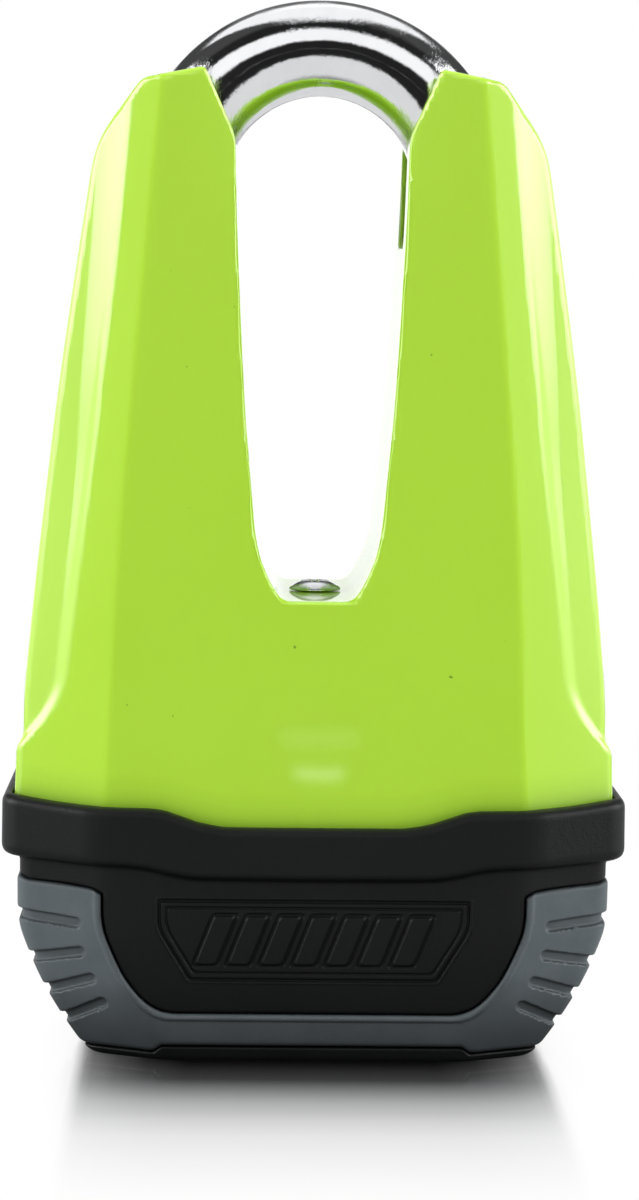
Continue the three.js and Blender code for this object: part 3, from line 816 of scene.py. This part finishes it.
# name, shape, lowest corner, highest corner, grid step, finish, body it rides, node it replaces
MOULDINGS = [
    ("armour_casting", armour, (-46.2, -21.3, 30.4), (46.2, 21.3, 145.2), 0.69,
     "armour_paint", "lock_body", "armour_shell"),
    ("shackle_bar", shackle, (-30.2, -8.2, 30.0), (30.2, 8.2, 155.2), 0.5,
     "shackle_chrome", "shackle", "shackle"),
    ("housing_moulding", housing, (-48.0, -24.2, 1.4), (48.0, 24.2, 40.6), 0.48,
     "black_plastic", "lock_body", "base_housing"),
    ("bumper_moulding", bumper, (-44.2, -23.4, 0.4), (44.2, 23.4, 29.2), 0.4,
     "grey_rubber", "lock_body", "bumper"),
    ("base_plate_moulding", base_plate, (-34.2, -19.2, -1.0), (34.2, 19.2, 3.4), 0.3,
     "black_plastic", "lock_body", "base_plate"),
    ("keyhole_slider", keyhole_slider, (-7.4, -7.2, 0.0), (11.6, 7.2, 2.8), 0.16,
     "black_plastic", "keyhole_cover", "keyhole_cover"),
]
for name, shape, low, high, step, slot_name, body, node in MOULDINGS:
    mesh = net_mesh(name, surface_net(shape, low, high, step))
    install(name, mesh, slot_name, body, node)

surface = surface_net(button_screw, (-4.5, -4.5, -4.0), (4.5, 4.5, 2.1), 0.13)
mesh = net_mesh("armour_screw_head", surface, offset=(0, 0, FLOOR_Z + 0.12))
install("armour_screw_head", mesh, "zinc_plate", node="armour_screw")

surface = surface_net(base_screw, (-3.4, -3.4, -0.2), (3.4, 3.4, 4.0), 0.17)
for side_y, end in ((-1, "front"), (1, "rear")):
    for side_x, hand in ((-1, "left"), (1, "right")):
        name = f"plate_screw_{end}_{hand}"
        mesh = net_mesh(name, surface, offset=(SCREW_X * side_x, SCREW_Y * side_y, 0))
        install(name, mesh, "zinc_plate", node=f"base_screw_{end}_{hand}")


# ------------------------------------------------------------------ hexagonal panels
PANEL_STEP, PANEL_HALF_X, PANEL_Z = 0.11, 23.05, (11.3, 24.8)
PANEL_BACK_Y, PANEL_CENTRE_Z, PANEL_INSET = 17.6, 18.0, 0.27
RIB_PITCH, RIB_SLANT, RIB_Z = 4.7, 0.38, 18.1
RIB_HALF_WIDTH, RIB_HALF_HEIGHT, RIB_RELIEF = 1.35, 3.5, 0.22


def panel_groove(value, centre, width, depth):
    return -depth * (1 - smoothstep(width * 0.45, width, np.abs(value - centre)))


def slanted_rib(x, z, i):
    across = (x - i * RIB_PITCH) - (z - RIB_Z) * RIB_SLANT
    width = np.abs(across) * 0.935 - RIB_HALF_WIDTH
    return meet(width, np.abs(z - RIB_Z) - RIB_HALF_HEIGHT, 0.6)


def panel_relief(x, z, edge, ribbed):
    """Two grooves along the edge and, if ribbed, seven slanted ribs with a sunk outline."""
    relief = panel_groove(edge, centre=-0.62, width=0.28, depth=0.4)
    relief = relief + panel_groove(edge, centre=-1.62, width=0.24, depth=0.3)
    if ribbed:
        ribs = union(*[slanted_rib(x, z, i) for i in range(-3, 4)])
        outline = panel_groove(ribs, centre=0.30, width=0.25, depth=0.24)
        relief += RIB_RELIEF * (1 - smoothstep(-0.14, 0.06, ribs)) + outline
    return relief


def panel(name, sign, ribbed):
    """Thin slab set on the housing; sign is 1 for the front (-y) and -1 for the rear."""
    half_step = PANEL_STEP / 2
    columns = np.arange(-PANEL_HALF_X, PANEL_HALF_X + half_step, PANEL_STEP)
    rows = np.arange(PANEL_Z[0], PANEL_Z[1] + half_step, PANEL_STEP)
    x, z = np.meshgrid(columns, rows, indexing="ij")
    edge = hexagon(np.abs(x), z)
    face = base_face(z) - PANEL_INSET + panel_relief(x, z, edge, ribbed)
    # the rim sinks into the housing
    face = face - 0.6 * smoothstep(-0.02, 0.25, edge)
    grid = np.stack([x, -face * sign, z], -1).reshape(-1, 3)
    index = np.arange(len(grid)).reshape(x.shape)
    quads = np.stack([index[:-1, :-1], index[1:, :-1], index[1:, 1:], index[:-1, 1:]], -1)
    quads = quads.reshape(-1, 4)
    # a wall from the rim to the back plane, closed there by a fan
    rim = np.concatenate([index[:, 0], index[-1, 1:], index[-2::-1, -1], index[0, -2:0:-1]])
    back = len(grid) + np.arange(len(rim))
    next_back = np.roll(back, -1)
    wall = np.stack([rim, back, next_back, np.roll(rim, -1)], 1)
    fan = np.stack([next_back, back, np.full(len(rim), back[-1] + 1)], 1)
    back_points = grid[rim].copy()
    back_points[:, 1] = -PANEL_BACK_Y * sign
    centre = np.array([[0.0, -PANEL_BACK_Y * sign, PANEL_CENTRE_Z]])
    faces = quads.tolist() + wall.tolist() + fan.tolist()
    if sign < 0:
        faces = [corners[::-1] for corners in faces]
    mesh = bpy.data.meshes.new(name)
    points = np.concatenate([grid, back_points, centre]) * MM
    mesh.from_pydata(points.tolist(), [], faces)
    mesh.update(calc_edges=True)
    smooth = np.arange(len(mesh.polygons)) < len(quads)
    mesh.polygons.foreach_set("use_smooth", smooth)
    install(name, mesh, "black_plastic")


panel("front_panel", sign=1, ribbed=True)
panel("rear_panel", sign=-1, ribbed=False)

# CAD nodes that stay, with their own finish
for part in frame["record"]["subparts"]:
    node = frame["nodes"].get(part["node"])
    if node is not None:
        for material_slot in node.material_slots:
            material_slot.material = FINISHES[part["material_slot"]]

# ------------------------------------------------------------------ floor
FLOOR_R, FLOOR_SIDES, FLOOR_DROP = 0.56, 96, 0.0002
FOOT_X, FOOT_Y = 0.030, 0.016  # half sizes of the area where the mirror is full
# Mirror strength: (share of 0.08 m away from the foot, strength)
MIRROR_AWAY = [
    (0.0, 0.67), (0.13, 0.64), (0.19, 0.565), (0.26, 0.47), (0.31, 0.40), (0.37, 0.33),
    (0.42, 0.255), (0.525, 0.155), (0.675, 0.09), (0.8, 0.05), (1.0, 0.0),
]
# Mirror strength to the sides: (share of the way from |x| = 0.018 to 0.042, factor)
MIRROR_ACROSS = [
    (0.0, 1.0), (0.24, 0.97), (0.42, 0.90), (0.56, 0.80), (0.60, 0.70), (0.64, 0.38),
    (0.68, 0.11), (0.74, 0.05), (1.0, 0.0),
]


def pale_floor():
    """White board: a mirror near the part for the camera, thinning out into the backdrop."""
    board = Finish("pale_floor")
    times, minus, remap = board.times, board.minus, board.remap
    grain = board.noise(scale=900.0, detail=2.0, roughness=0.5)
    board.finish(
        Base_Color=board.tones(grain, low=(0.26,) * 3, high=(0.29,) * 3, span=(0.2, 0.8)),
        Roughness=0.6,
        Specular_IOR_Level=0.1,
    )
    geometry = board.node("NewGeometry")
    position = geometry.outputs["Position"]
    x, y, _ = board.separate(position)

    def absolute(value):
        return board.math("ABSOLUTE", value, 0.0)

    # distance from the foot area, growing faster behind the part
    away_x = board.highest(minus(absolute(x), FOOT_X), 0.0)
    away_y = board.highest(minus(absolute(y), FOOT_Y), 0.0)
    away_y = times(away_y, remap(y, source=(-0.012, 0.012), target=(1.0, 3.2)))
    squares = board.plus(times(away_x, away_x), times(away_y, away_y))
    away = board.math("SQRT", squares, 0.0)
    mirror = board.grey_ramp(remap(away, source=(0.0, 0.08), target=(0.0, 1.0)), MIRROR_AWAY)
    # beside the part the board stays plain
    across = remap(absolute(x), source=(0.018, 0.042), target=(0.0, 1.0))
    within = board.grey_ramp(across, MIRROR_ACROSS)
    mirror = times(mirror, within)
    # the sheen is strongest at a low angle
    toward = board.separate(geometry.outputs["Incoming"])
    mirror = times(mirror, remap(toward[2], source=(0.235, 0.40), target=(1.0, 0.22)))
    # contact shadow, only where the mirror reaches
    open_sky = board.math("POWER", board.occlusion(distance=0.022, samples=8), 1.4)
    shade = remap(open_sky, source=(0.0, 1.0), target=(0.35, 1.0))
    shade = minus(1.0, times(minus(1.0, shade), within))
    white = times(minus(1.01, times(mirror, 1.5)), shade)
    glow = board.node("Emission", {"Strength": white})
    gloss = board.node("BsdfGlossy", {
        "Roughness": remap(away, source=(0.0, 0.06), target=(0.10, 0.24)),
        "Color": mirror,
    })
    seen = board.node("AddShader", {0: glow.outputs[0], 1: gloss.outputs[0]})
    length = board.node("VectorMath", {0: position}, operation="LENGTH").outputs["Value"]
    clear = board.node("BsdfTransparent")
    thinning = remap(length, source=(0.16, 0.34), target=(0.0, 1.0))
    for_camera = board.mix_shader(thinning, seen.outputs[0], clear.outputs[0])
    # what the part itself reflects: a glowing board with painted shade close to the foot, and dark
    # at the rim
    path = board.node("LightPath")
    cloud = remap(board.noise(scale=60.0), source=(0.2, 0.8), target=(0.62, 0.76))
    near = remap(away, source=(0.0, 0.05), target=(0.03, 1.0))
    far = remap(length, source=(0.37, 0.44), target=(1.08, 0.03))
    bright = board.node("Emission", {"Strength": times(cloud, times(near, far))})
    unseen = board.mix_shader(
        path.outputs["Is Glossy Ray"], board.surface.outputs["BSDF"], bright.outputs[0]
    )
    result = board.mix_shader(path.outputs["Is Camera Ray"], unseen, for_camera)
    board.feed(board.tree.nodes["Material Output"].inputs["Surface"], result)
    return board.material


floor_material = pale_floor()
mesh = bpy.data.meshes.new("floor")
turns = [2 * math.pi * i / FLOOR_SIDES for i in range(FLOOR_SIDES)]
ring = [(FLOOR_R * math.cos(turn), FLOOR_R * math.sin(turn), -FLOOR_DROP) for turn in turns]
mesh.from_pydata(ring, [], [tuple(range(FLOOR_SIDES))])
mesh.materials.append(floor_material)
add_object("floor", mesh)

# ------------------------------------------------------------------ studio
DEGREES = 180.0 / math.pi
# Brightness of each part of the studio
FRONT_GLOW, ROOF_GLOW, BEHIND_GLOW, LOW_GLOW, SHOULDER_GLOW = 1.27, 1.24, 1.5, 0.8, 1.7
TALL_GLOW, TALL_DIFFUSE_CUT = 11.0, 9.3  # side boxes, and what diffuse rays lose of them
AROUND_DIFFUSE_GLOW = 0.8
STRIP_GLOW, FAINT_STRIP_GLOW = 5.6, 1.3
STRIP_X, STRIP_BOW = 0.0254, 680.0
DIFFUSE_GAIN = 0.0  # extra share of light for diffuse rays


def studio_world():
    """Light boxes drawn as a function of direction, so nothing stands in a camera's way."""
    world = bpy.data.worlds.new("studio")
    bpy.context.scene.world = world
    world.use_nodes = True
    world.node_tree.nodes.clear()
    sky = Graph(world.node_tree)
    times, minus, highest = sky.times, sky.minus, sky.highest
    fade_in, fade_out, window = sky.fade_in, sky.fade_out, sky.window
    x, y, z = sky.separate(sky.node("TexCoord").outputs["Generated"])
    # lift: angle round the x axis, 0 towards the camera, 90 up, 180 behind
    lift = times(sky.math("ARCTAN2", z, times(y, -1.0)), DEGREES)
    side = sky.math("ABSOLUTE", x)
    up = highest(z, 0.02)
    roof_x = sky.math("DIVIDE", side, up)

    front = window(lift, opens=(14.0, 19.0), closes=(43.0, 49.0))
    front = times(front, fade_out(side, over=(0.50, 0.66)))

    # roof box, trimmed by two slanting edges
    roof = window(lift, opens=(60.5, 66.5), closes=(128.0, 138.0), rest=0.15)
    roof_y = sky.math("DIVIDE", y, up)
    corner = minus(roof_y, minus(times(roof_x, 1.40), 0.50))
    roof = times(roof, fade_in(corner, over=(-0.08, 0.05)))
    flare = minus(minus(0.882, times(y, 0.77)), side)
    roof = times(roof, fade_in(flare, over=(-0.03, 0.03)))

    # tall boxes at both sides; turn: angle round z from the camera, rise: angle above level
    turn = times(sky.math("ARCTAN2", side, times(y, -1.0)), DEGREES)
    rise = times(sky.math("ARCSINE", z), DEGREES)
    tall = window(turn, opens=(58.0, 62.5), closes=(98.0, 112.0))
    tall = times(tall, window(rise, opens=(0.5, 11.5), closes=(34.0, 46.0)))
    shoulder = window(turn, opens=(52.5, 58.0), closes=(98.0, 112.0))
    shoulder = times(shoulder, window(rise, opens=(-14.0, 0.0), closes=(34.0, 46.0)))

    around = fade_in(y, over=(0.15, 0.5))
    behind = times(around, fade_out(side, over=(0.15, 0.26), rest=0.05))
    band = window(rise, opens=(6.0, 10.0), closes=(42.0, 52.0))
    behind = times(behind, minus(1.0, times(band, 0.9)))
    low = times(fade_out(z, over=(-0.02, 0.0)), fade_in(y, over=(-0.5, 0.1)))

    # two slim strips just below level on the camera's side, the bright one bowed
    off = minus(x, STRIP_X)
    bow = minus(rise, times(times(off, off), STRIP_BOW))
    narrow = fade_out(sky.math("ABSOLUTE", off), over=(0.0055, 0.0085))
    broad = fade_out(sky.math("ABSOLUTE", off), over=(0.009, 0.014))
    strip = window(bow, opens=(-2.45, -2.40), closes=(-2.31, -2.18))
    strip = times(strip, times(narrow, STRIP_GLOW))
    faint = window(rise, opens=(-1.96, -1.80), closes=(-1.68, -1.50))
    faint = times(faint, times(broad, FAINT_STRIP_GLOW))
    strip = times(sky.plus(strip, faint), fade_out(y, over=(-0.9, -0.8)))

    total = times(front, FRONT_GLOW)
    total = highest(total, times(roof, ROOF_GLOW))
    flank = times(fade_in(turn, over=(98.0, 110.0)), fade_out(z, over=(0.20, 0.36)))
    total = highest(total, times(highest(behind, flank), BEHIND_GLOW))
    total = highest(total, times(low, LOW_GLOW))
    dim = sky.remap(lift, source=(66.0, 78.0), target=(0.02, 0.075), kind="SMOOTHSTEP")
    total = highest(total, dim)
    total = highest(total, strip)
    total = highest(total, times(shoulder, SHOULDER_GLOW))
    path = sky.node("LightPath")
    diffuse = path.outputs["Is Diffuse Ray"]
    tall_glow = minus(TALL_GLOW, times(diffuse, TALL_DIFFUSE_CUT))
    total = highest(total, times(tall, tall_glow))
    total = highest(total, times(times(diffuse, around), AROUND_DIFFUSE_GLOW))
    gain = sky.plus(1.0, times(diffuse, DIFFUSE_GAIN))
    lit = sky.node("Background", {"Strength": times(total, gain)})
    # the camera sees plain white
    plain = sky.node("Background", {"Color": (1, 1, 1, 1), "Strength": 1.0})
    result = sky.mix_shader(path.outputs["Is Camera Ray"], lit.outputs[0], plain.outputs[0])
    sky.node("OutputWorld", {"Surface": result})


studio_world()

# name, place, target, width, height, power in watts
LIGHTS = [
    ("fill_left", (-0.85, -0.10, 0.24), (0, 0, 0.09), 0.3, 0.5, 2.75),
    ("fill_right", (0.85, -0.10, 0.24), (0, 0, 0.09), 0.3, 0.5, 2.75),
    ("fill_front", (0.0, -0.9, 0.45), (0, 0, 0.08), 0.6, 0.4, 1.65),
    ("fill_top", (0.0, -0.15, 0.9), (0, 0, 0.0), 0.6, 0.5, 3.1),
]
for name, place, target, width, height, power in LIGHTS:
    light = bpy.data.lights.new(name, "AREA")
    light.energy = power
    light.shape = "RECTANGLE"
    light.size = width
    light.size_y = height
    obj = add_object(name, light)
    obj.location = place
    aim = Vector(target) - Vector(place)
    obj.rotation_euler = aim.to_track_quat("-Z", "Y").to_euler()
    obj.visible_glossy = False

# ------------------------------------------------------------------ camera
CAMERA_DISTANCE, CAMERA_HEIGHT = 0.505, 0.1138
YAW, ROLL = math.radians(1.36), math.radians(0.74)

scene = bpy.context.scene
camera_data = bpy.data.cameras.new("camera")
camera = add_object("camera", camera_data)
scene.camera = camera
camera_data.sensor_fit = "VERTICAL"
camera_data.sensor_height = 36.0
camera_data.lens = 101.82
camera_data.shift_x = 0.0005
camera_data.shift_y = -0.27375
camera_data.clip_start = 0.01
camera_data.clip_end = 20.0
place = Vector((
    -CAMERA_DISTANCE * math.sin(YAW), -CAMERA_DISTANCE * math.cos(YAW), CAMERA_HEIGHT
))
# looking level towards the part, then rolled about the optical axis
yaw = Matrix.Rotation(-YAW, 4, "Z")
level = Matrix.Rotation(math.radians(90), 4, "X")
look = yaw @ level @ Matrix.Rotation(ROLL, 4, "Z")
camera.matrix_world = Matrix.Translation(place) @ look

scene.view_settings.view_transform = "Standard"
scene.view_settings.look = "None"
scene.view_settings.exposure = 0.0
scene.view_settings.gamma = 1.0
